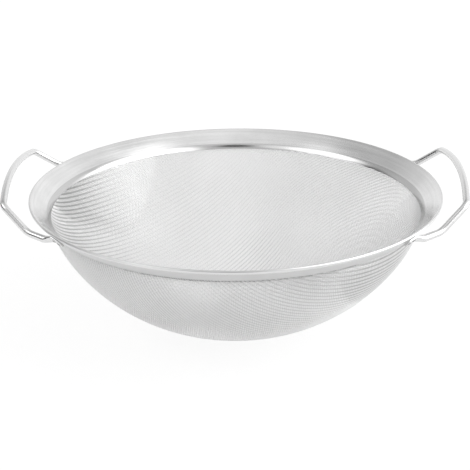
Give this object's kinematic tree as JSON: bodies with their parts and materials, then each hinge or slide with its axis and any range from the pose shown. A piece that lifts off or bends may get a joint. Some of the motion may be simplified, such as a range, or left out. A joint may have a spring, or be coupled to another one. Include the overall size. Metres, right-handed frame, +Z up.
{
  "type": "rice strainer",
  "caption": "Wide round-bottomed strainer: a deep bowl of fine woven wire cloth in a sloping sheet-steel rim, with a bent wire handle welded under the rim on either side.",
  "frame": {"origin": "middle of the small flat pressed into the bottom of the bowl, on the surface that the strainer stands on", "axes": "+Z up along the bowl's axis, +X towards the right handle, the handles symmetric about the XZ plane"},
  "size_m": [0.3298, 0.3, 0.1201],
  "materials": {
    "rim_flange": "polished stainless sheet with a soft turned grain",
    "backing_ring": "satin stainless sheet",
    "mesh_bowl": "bright drawn stainless wire, plain weave",
    "left_handle": "bright polished stainless wire",
    "right_handle": "bright polished stainless wire"
  },
  "bodies": {
    "root": {"rim_flange": "rim_flange", "backing_ring": "backing_ring", "mesh_bowl": "mesh_bowl", "left_handle": "left_handle", "right_handle": "right_handle"}
  },
  "joints": []
}
